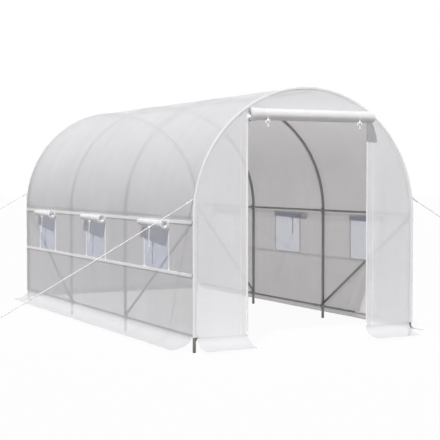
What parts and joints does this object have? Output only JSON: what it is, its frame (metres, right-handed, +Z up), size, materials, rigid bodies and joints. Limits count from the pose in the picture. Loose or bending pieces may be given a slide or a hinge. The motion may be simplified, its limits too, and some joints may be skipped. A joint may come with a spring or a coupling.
{
  "type": "polytunnel greenhouse",
  "caption": "Hoop-framed polytunnel greenhouse with a translucent film cover, rolled-up door, netted side windows with rolled flaps, ground skirts and guy ropes.",
  "frame": {"origin": "on the ground at the centre of the plan", "axes": "+X to the right seen from the doorway end, +Y along the tunnel towards the back, +Z up"},
  "size_m": [6.192, 4.3406, 2.0039],
  "materials": {
    "galvanised_tube": "galvanised steel tube, dull grey",
    "peg_steel": "plain steel",
    "rope": "white laid cord",
    "window_net": "fine open net",
    "white_webbing": "white woven tape",
    "skirt_film": "woven film, translucent white",
    "rolled_film": "woven film in many layers, opaque white",
    "cover_film": "woven film, translucent"
  },
  "bodies": {
    "root": {"back_arch": "galvanised_tube", "back_binding": "white_webbing", "back_panel": "cover_film", "back_skirt": "skirt_film", "door_roll": "rolled_film", "door_strips": "white_webbing", "door_ties": "white_webbing", "front_arch": "galvanised_tube", "front_binding": "white_webbing", "front_gable_panel": "cover_film", "front_left_panel": "cover_film", "front_right_panel": "cover_film", "front_skirts": "skirt_film", "guy_pegs": "peg_steel", "guy_ropes": "rope", "guy_tongues": "white_webbing", "left_bands": "white_webbing", "left_braces": "galvanised_tube", "left_ground_rail": "galvanised_tube", "left_mid_rail": "galvanised_tube", "left_posts": "galvanised_tube", "left_side_wall": "cover_film", "left_skirt": "skirt_film", "left_window_nets": "window_net", "left_window_rolls": "rolled_film", "rail_clips": "galvanised_tube", "ridge_rail": "galvanised_tube", "right_bands": "white_webbing", "right_braces": "galvanised_tube", "right_ground_rail": "galvanised_tube", "right_mid_rail": "galvanised_tube", "right_posts": "galvanised_tube", "right_side_wall": "cover_film", "right_skirt": "skirt_film", "right_window_nets": "window_net", "right_window_rolls": "rolled_film", "roof_left_low": "cover_film", "roof_left_mid": "cover_film", "roof_left_top": "cover_film", "roof_right_low": "cover_film", "roof_right_mid": "cover_film", "roof_right_top": "cover_film", "second_arch": "galvanised_tube", "third_arch": "galvanised_tube", "window_ties": "white_webbing"}
  },
  "joints": []
}
